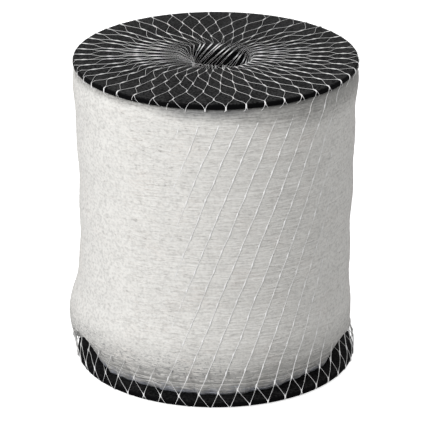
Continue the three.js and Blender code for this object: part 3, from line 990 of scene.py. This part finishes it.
def place_runs(runs, sleeve, line, line_radius, line_height):
    """Adds each run's radius and height over the flanges, the bore and the wound form, and where it lies."""
    radius = np.interp(runs.along, line, line_radius)
    height = np.interp(runs.along, line, line_height)
    runs.on_side = radius > TOP_HIGH.x + SIDE_FROM * sleeve.stand_off
    radius = np.where(runs.on_side, side_radius(runs.angle, height), radius)
    runs.tucked = below(runs.along, TUCK["start"], COVER["length"]) * between(runs.angle, COVER_SIDES)
    runs.radius = radius - COVER["inward"] * runs.tucked
    runs.height = height + COVER["rise"] * runs.tucked * bell(runs.angle, COVER)
    runs.over_wound = within(runs.height, OVER_WOUND) * runs.on_side
    runs.at_knot = np.exp(-(2.0 * runs.near / sleeve.knot_length)**2)
    runs.folds = []
    for fold in DOUBLED:
        low = below(runs.height, fold["height"], DOUBLED_FADE["height"])
        runs.folds.append(bell(runs.angle, fold) * low * runs.on_side)


def sleeve_paths(runs, normal):
    """Paths of the threads: the runs, moved along the normal by their lie over the wound form and by loops.

    The loops are bell curves about the rim, in the middles of the bars at the back.
    """
    below_rim = (TOP_LOW.z - runs.height) / DIVE["height"]
    dive = DIVE["depth"] * np.exp(-below_rim**2) * between(runs.angle, DIVE_SIDES)
    lie = runs.sink - dive - ridge_hollow(runs.angle, runs.height)
    from_rim = np.hypot(runs.radius - TOP_HIGH.x, runs.height - TOP_HIGH.z) / RIM_LOOP["distance"]
    loop = RIM_LOOP["height"] * runs.middle * np.exp(-from_rim**2) * bell(runs.angle, RIM_LOOP)
    moved = (lie * runs.over_wound + loop)[:, :, None] * normal
    return polar(runs.angle, runs.radius, runs.height) + moved


def sleeve_radii(runs, sleeve):
    """Half thicknesses: thin at the hub, swollen in knots, flattened over the winding, doubled in folds."""
    bunched = below(runs.along, HUB_BUNCH["start"], HUB_BUNCH["length"]) * between(runs.angle, HUB_BUNCH)
    thin = HUB_THIN["share"]
    thin = thin + (1.0 - thin) * above(runs.radius, HUB_THIN["radius"], HUB_THIN["fade"])
    thin = thin * (1.0 - COVER["thinning"] * runs.tucked) * (1.0 - HUB_BUNCH["thinning"] * bunched)
    knotted = (1.0 - FLATTENED["knots"] * runs.over_wound) * (1.0 - HUB_BUNCH["knots"] * bunched)
    swell = 1.0 + sleeve.knot_swell * knotted * runs.at_knot
    growth = sum((fold["growth"] * share for fold, share in zip(DOUBLED, runs.folds)), 1.0)
    growth = growth + FLATTENED["growth"] * runs.over_wound * (1.0 - FLATTENED["under"] * runs.under)
    return 0.5 * sleeve.thread_width * thin * swell * growth


def sleeve_tone(runs):
    """Tone from 0, white, to 1, shaded: under threads, in folds, on the top plate and over the winding."""
    seen = above(runs.height, runs.hidden_from, SHADED["low_fade"])
    shaded = runs.under * seen * below(runs.height, SHADED["high"], SHADED["high_fade"]) * runs.on_side
    folded = sum(fold["tone"] * share for fold, share in zip(DOUBLED, runs.folds))
    folded = folded * above(runs.height, DOUBLED_FADE["tone_from"], DOUBLED_FADE["tone_fade"])
    on_plate = ON_PLATE["tone"] * within(runs.radius, ON_PLATE)
    pressed = FLATTENED["tone"] + (FLATTENED["knot_tone"] - FLATTENED["tone"]) * runs.at_knot
    faint = FAINT["tone"] * within(runs.height, FAINT) * runs.on_side * between(runs.angle, FAINT_SIDES)
    return np.clip(shaded + folded + on_plate + runs.over_wound * pressed + faint, 0.0, 1.0)


def sleeve_threads(spool, sleeve):
    """Threads of the sleeve as tubes, each the sleeve's whole length from knot to knot, with tones."""
    line = sleeve_line(spool, sleeve)
    runs = sleeve_runs(sleeve, *line)
    place_runs(runs, sleeve, *line)
    normal = polar(runs.angle, *along_slopes(*line, runs.along))
    paths = sleeve_paths(runs, normal)
    points, faces = tubes(paths, normal, sleeve_radii(runs, sleeve), SLEEVE_THREAD_SIDES, False)
    return points, faces, np.repeat(sleeve_tone(runs).ravel(), SLEEVE_THREAD_SIDES)


class NETTING_OT_sleeve(bpy.types.Operator):
    """Make the sleeve of netting, thread by thread"""

    bl_idname = "netting.sleeve"
    bl_label = "Make the sleeve"

    def execute(self, context):
        sleeve = context.scene.netting_sleeve
        points, faces, tone = sleeve_threads(context.scene.netting_spool, sleeve)
        finish = net_plastic("sleeve_thread", sleeve)
        piece = make_piece("sleeve_threads", points, faces, finish, tone)
        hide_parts("net_sleeve")
        return {"FINISHED"}


# The stage: the camera's sensor and shift, the key light's place, aim and size, and the floor
SENSOR_WIDTH = 36.0
CAMERA_SHIFT = (-0.00135, -0.0221)
KEY_PLACE = (-1.7, -1.7, 1.6)
KEY_AIM = Vector((0.0, 0.0, 0.17))
KEY_SIZE = 1.4
FLOOR_HALF = 20.0
FLOOR_COLOUR = (0.9, 0.9, 0.9, 1.0)
WHITE = (1.0, 1.0, 1.0, 1.0)


class NETTING_OT_stage(bpy.types.Operator):
    """Make the camera, the soft studio light and the white floor"""

    bl_idname = "netting.stage"
    bl_label = "Make the stage"

    def execute(self, context):
        scene = context.scene
        stage = scene.netting_stage
        self.add_camera(scene, stage)
        self.add_lights(scene, stage)
        self.add_floor(scene, stage)
        scene.view_settings.view_transform = "Standard"
        return {"FINISHED"}

    def add_camera(self, scene, stage):
        camera = bpy.data.objects.new("camera", bpy.data.cameras.new("camera"))
        scene.collection.objects.link(camera)
        back = Vector((0.0, -math.cos(stage.elevation), math.sin(stage.elevation)))
        camera.location = Vector((0.0, 0.0, stage.aim_height)) + stage.distance * back
        camera.rotation_euler = (0.5 * math.pi - stage.elevation, 0.0, 0.0)
        camera.data.sensor_width = SENSOR_WIDTH
        camera.data.lens = stage.lens
        camera.data.shift_x, camera.data.shift_y = CAMERA_SHIFT
        scene.camera = camera

    def add_lights(self, scene, stage):
        key = bpy.data.objects.new("key_light", bpy.data.lights.new("key_light", "AREA"))
        scene.collection.objects.link(key)
        key.location = KEY_PLACE
        key.rotation_euler = (KEY_AIM - key.location).to_track_quat("-Z", "Y").to_euler()
        key.data.shape = "SQUARE"
        key.data.size = KEY_SIZE
        key.data.energy = stage.key_power
        world = bpy.data.worlds.new("studio")
        scene.world = world
        world.use_nodes = True
        sky = world.node_tree.nodes["Background"]
        sky.inputs["Color"].default_value = WHITE
        sky.inputs["Strength"].default_value = stage.fill

    def add_floor(self, scene, stage):
        corners = np.array([(-1.0, -1.0, 0.0), (1.0, -1.0, 0.0), (1.0, 1.0, 0.0), (-1.0, 1.0, 0.0)])
        mesh = bpy.data.meshes.new("floor")
        mesh.from_pydata((FLOOR_HALF * corners).tolist(), [], [(0, 1, 2, 3)])
        finish = Finish("white_floor")
        mesh.materials.append(finish.shade(
            Base_Color=FLOOR_COLOUR,
            Roughness=0.9,
            Specular_IOR_Level=0.0,
            Emission_Color=WHITE,
            Emission_Strength=stage.floor_glow,
        ))
        floor = bpy.data.objects.new("floor", mesh)
        scene.collection.objects.link(floor)
        floor.visible_diffuse = False
        floor.visible_glossy = False


class NETTING_PT_panel(bpy.types.Panel):
    """Settings of the roll and the steps that make it"""

    bl_idname = "NETTING_PT_panel"
    bl_label = "Netting roll"
    bl_space_type = "VIEW_3D"
    bl_region_type = "UI"
    bl_category = "Netting"

    def draw(self, context):
        for group, steps in PANEL_STEPS.items():
            box = self.layout.box()
            settings = getattr(context.scene, group)
            for name in settings.__annotations__:
                box.prop(settings, name)
            for step in steps:
                box.operator(step.bl_idname)


SETTINGS = {
    "netting_stage": StageSettings,
    "netting_spool": SpoolSettings,
    "netting_wound": WoundSettings,
    "netting_sleeve": SleeveSettings,
}
PANEL_STEPS = {
    "netting_stage": (NETTING_OT_stage,),
    "netting_spool": (NETTING_OT_spool,),
    "netting_wound": (NETTING_OT_wound_bed, NETTING_OT_wound_threads),
    "netting_sleeve": (NETTING_OT_sleeve,),
}
CLASSES = (*SETTINGS.values(), *sum(PANEL_STEPS.values(), ()), NETTING_PT_panel)


def register():
    for kind in CLASSES:
        bpy.utils.register_class(kind)
    for name, kind in SETTINGS.items():
        setattr(bpy.types.Scene, name, bpy.props.PointerProperty(type=kind))


def unregister():
    for name in SETTINGS:
        delattr(bpy.types.Scene, name)
    for kind in reversed(CLASSES):
        bpy.utils.unregister_class(kind)


def main():
    register()
    bpy.ops.netting.stage()
    bpy.ops.netting.spool()
    bpy.ops.netting.wound_bed()
    bpy.ops.netting.wound_threads()
    bpy.ops.netting.sleeve()


if __name__ == "__main__":
    main()
